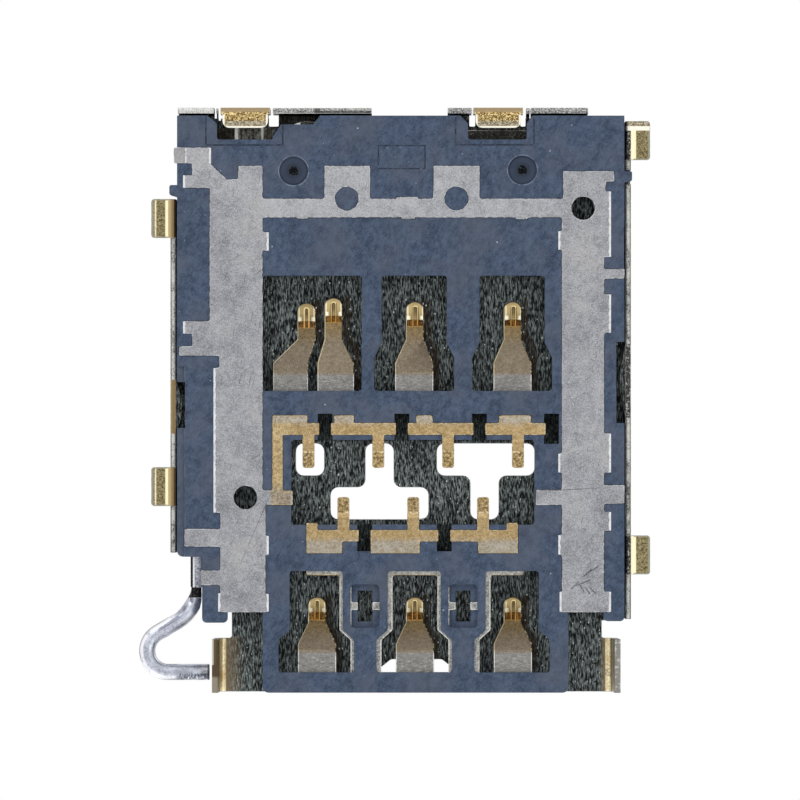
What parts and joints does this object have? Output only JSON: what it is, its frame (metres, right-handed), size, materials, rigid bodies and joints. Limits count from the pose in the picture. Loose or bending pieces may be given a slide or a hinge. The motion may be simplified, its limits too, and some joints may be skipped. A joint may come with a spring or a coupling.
{
  "type": "sim card socket",
  "caption": "Low board-mounted card tray socket: moulding with contact windows and a ground frame, folded metal cover, and a bent wire rod with a lever that pushes the tray out.",
  "frame": {"origin": "point on the moulding's flat underside between the two contact rows, at the middle of the cover's length and width; z = 0 is the board's top face", "axes": "+Z away from the board, +Y from the tray mouth to the rear wall, +X towards the side with the push rod"},
  "size_m": [0.0133, 0.0152, 0.0014],
  "materials": {
    "blue_moulding": "moulded blue-grey, slightly mottled",
    "tinned_frame": "warm grey plated sheet, stained and scratched",
    "gold_contact": "thin gold plating, brighter on the contact domes",
    "cover_steel": "brushed stainless sheet",
    "rod_steel": "drawn bright wire"
  },
  "bodies": {
    "socket": {"housing": "blue_moulding", "ground_frame": "tinned_frame", "rear_contact_2": "gold_contact", "rear_contact_3": "gold_contact", "rear_contact_4": "gold_contact", "front_contact_1": "gold_contact", "front_contact_2": "gold_contact", "front_contact_3": "gold_contact", "cover_shell": "cover_steel"},
    "rod": {"push_rod": "rod_steel"},
    "lever": {"eject_lever": "cover_steel"}
  },
  "joints": [
    {"name": "rod_slide", "type": "slide", "parent": "socket", "child": "rod", "axis": [0, 1, 0], "range_m": [0, 0.00095]},
    {"name": "lever_swing", "type": "hinge", "parent": "socket", "child": "lever", "pos_m": [0.00243, 0.00646, 0.0008], "axis": [0, 0, 1], "range_deg": [0, 21.82]}
  ],
  "couplings": [
    {"joint": "lever_swing", "follows": "rod_slide", "rad_per_m": 400.8}
  ]
}
